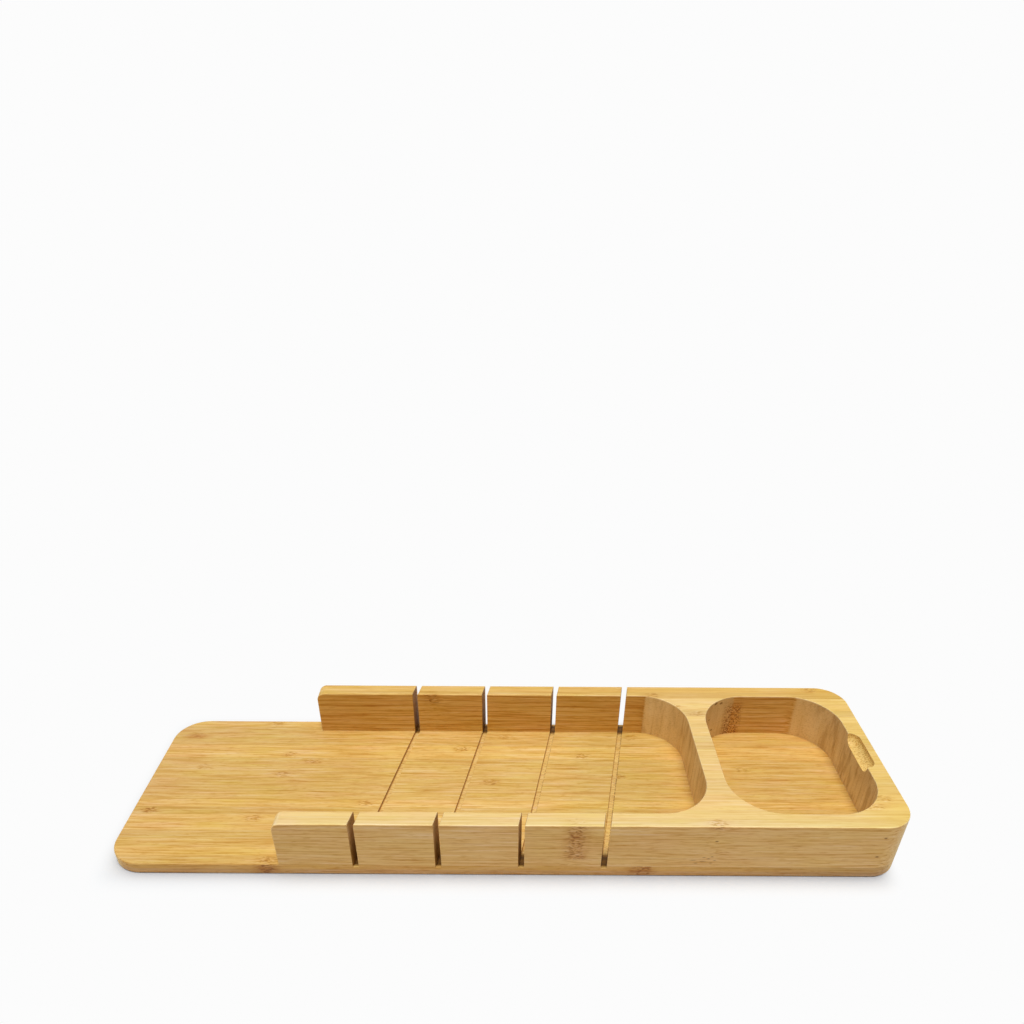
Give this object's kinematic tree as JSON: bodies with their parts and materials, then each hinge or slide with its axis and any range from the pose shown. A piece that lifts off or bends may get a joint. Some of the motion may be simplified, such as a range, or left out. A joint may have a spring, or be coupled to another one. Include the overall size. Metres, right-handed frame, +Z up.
{
  "type": "bread board with dip well",
  "caption": "Long bamboo board for slicing a baguette, with sawn knife-guide rails, a bare serving end and a round-cornered dip well with a finger notch.",
  "frame": {"origin": "middle of the underside, on the surface that the board stands on", "axes": "+X along the board towards the dip well, +Y towards the rear rail, +Z up"},
  "size_m": [0.51, 0.15, 0.0435],
  "materials": {
    "bamboo_base": "oiled satin, sanded smooth",
    "bamboo_rails": "oiled satin, sanded smooth, sawn ends",
    "bamboo_frame": "oiled satin, routed pockets"
  },
  "bodies": {
    "root": {"base_board": "bamboo_base", "front_rail_1": "bamboo_rails", "front_rail_2": "bamboo_rails", "front_rail_3": "bamboo_rails", "front_rail_4": "bamboo_rails", "rear_rail_1": "bamboo_rails", "rear_rail_2": "bamboo_rails", "rear_rail_3": "bamboo_rails", "rear_rail_4": "bamboo_rails", "end_frame": "bamboo_frame"}
  },
  "joints": []
}
